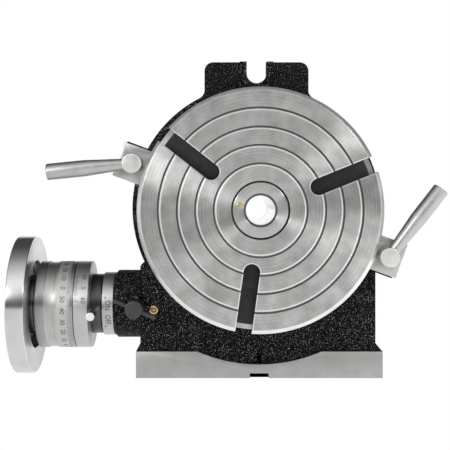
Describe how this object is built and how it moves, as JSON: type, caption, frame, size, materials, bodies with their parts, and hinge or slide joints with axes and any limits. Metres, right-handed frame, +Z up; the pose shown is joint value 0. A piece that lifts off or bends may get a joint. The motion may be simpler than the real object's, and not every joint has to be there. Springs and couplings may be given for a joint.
{
  "type": "rotary table",
  "caption": "Horizontal vertical rotary table with T-slots and ring grooves, a worm drive with handwheel, dial and vernier, table clamps and a tapered centre bore.",
  "frame": {"origin": "where the table's axis meets its working face", "axes": "+X to the right with the handwheel on the left, +Y into the depth behind the face, +Z up from the foot for vertical use"},
  "size_m": [0.2731, 0.096, 0.2056],
  "materials": {
    "black_paint": "black wrinkle paint",
    "turned_iron": "fine turned and ground face",
    "satin_steel": "satin bright steel",
    "polished_steel": "polished, with fine turned lines",
    "satin_chrome": "satin chrome with dark marks",
    "black_oxide": "blackened steel",
    "brass": "bright brass",
    "bronze": "machined bronze",
    "hard_steel": "ground steel",
    "aluminium": "satin"
  },
  "bodies": {
    "body": {"body_casting": "black_paint", "centre_sleeve": "satin_steel", "thrust_washer": "bronze", "back_cover": "satin_steel", "cover_screws": "black_oxide", "ring_nut": "black_oxide", "switch_ring": "satin_chrome", "index_plate": "aluminium", "index_pins": "aluminium", "front_oiler": "brass", "centre_oiler": "brass"},
    "table": {"table": "turned_iron", "table_hub": "turned_iron", "worm_wheel": "bronze", "wheel_screws": "black_oxide"},
    "eccentric": {"eccentric_sleeve": "black_oxide", "sleeve_nose": "black_oxide", "sleeve_lever": "satin_steel", "vernier_ring": "satin_chrome", "vernier_screw": "black_oxide", "worm_bush": "bronze"},
    "worm": {"worm_shaft": "hard_steel", "shaft_key": "hard_steel", "worm_thrust_washer": "hard_steel", "end_play_nuts": "black_oxide", "dial_hub": "hard_steel", "dial_spring": "hard_steel", "handwheel": "polished_steel", "handwheel_washer": "satin_steel", "handwheel_nut": "satin_steel"},
    "dial": {"dial": "satin_chrome"},
    "left_plate": {"left_clamp_plate": "satin_steel"},
    "left_bolt": {"left_clamp_bolt": "satin_steel", "left_clamp_lever": "satin_steel"},
    "right_plate": {"right_clamp_plate": "satin_steel"},
    "right_bolt": {"right_clamp_bolt": "satin_steel", "right_clamp_lever": "satin_steel"},
    "lock_screw": {"lock_screw": "black_oxide"},
    "tommy_bar": {"tommy_bar": "black_oxide"},
    "front_ball": {"front_oiler_ball": "hard_steel"},
    "centre_ball": {"centre_oiler_ball": "hard_steel"}
  },
  "joints": [
    {"name": "table_turn", "type": "hinge", "parent": "body", "child": "table", "pos_m": [0, 0.03, 0], "axis": [0, 1, 0], "continuous": true},
    {"name": "sleeve_turn", "type": "hinge", "parent": "body", "child": "eccentric", "pos_m": [0, 0.0458, -0.06125], "axis": [1, 0, 0], "range_deg": [0, 60]},
    {"name": "worm_turn", "type": "hinge", "parent": "eccentric", "child": "worm", "pos_m": [0, 0.0425, -0.06125], "axis": [1, 0, 0], "continuous": true},
    {"name": "dial_turn", "type": "hinge", "parent": "worm", "child": "dial", "pos_m": [-0.13, 0.0425, -0.06125], "axis": [1, 0, 0], "continuous": true},
    {"name": "left_clamp_slide", "type": "slide", "parent": "body", "child": "left_plate", "axis": [0, 1, 0], "range_m": [-0.0002, 0.0003]},
    {"name": "left_clamp_turn", "type": "hinge", "parent": "left_plate", "child": "left_bolt", "pos_m": [-0.07781, 0.01, 0.02832], "axis": [0, -1, 0], "range_deg": [-60, 40]},
    {"name": "right_clamp_slide", "type": "slide", "parent": "body", "child": "right_plate", "axis": [0, 1, 0], "range_m": [-0.0002, 0.0003]},
    {"name": "right_clamp_turn", "type": "hinge", "parent": "right_plate", "child": "right_bolt", "pos_m": [0.07781, 0.01, -0.02832], "axis": [0, -1, 0], "range_deg": [-75, 30]},
    {"name": "lock_turn", "type": "hinge", "parent": "body", "child": "lock_screw", "pos_m": [-0.0776, 0.02, -0.06125], "axis": [0, -1, 0], "range_deg": [-60, 60]},
    {"name": "tommy_slide", "type": "slide", "parent": "lock_screw", "child": "tommy_bar", "axis": [0.9205, 0, -0.3907], "range_m": [-0.0055, 0.0055]},
    {"name": "front_oiler_press", "type": "slide", "parent": "body", "child": "front_ball", "axis": [0, 1, 0], "range_m": [0, 0.0008], "stiffness_N_per_m": 150, "springref_m": -0.001},
    {"name": "centre_oiler_press", "type": "slide", "parent": "body", "child": "centre_ball", "axis": [0, 1, 0], "range_m": [0, 0.0006], "stiffness_N_per_m": 150, "springref_m": -0.001}
  ],
  "couplings": [
    {"joint": "table_turn", "follows": "worm_turn", "ratio": 0.011111},
    {"joint": "left_clamp_slide", "follows": "left_clamp_turn", "m_per_rad": -0.00019894},
    {"joint": "right_clamp_slide", "follows": "right_clamp_turn", "m_per_rad": -0.00019894}
  ]
}
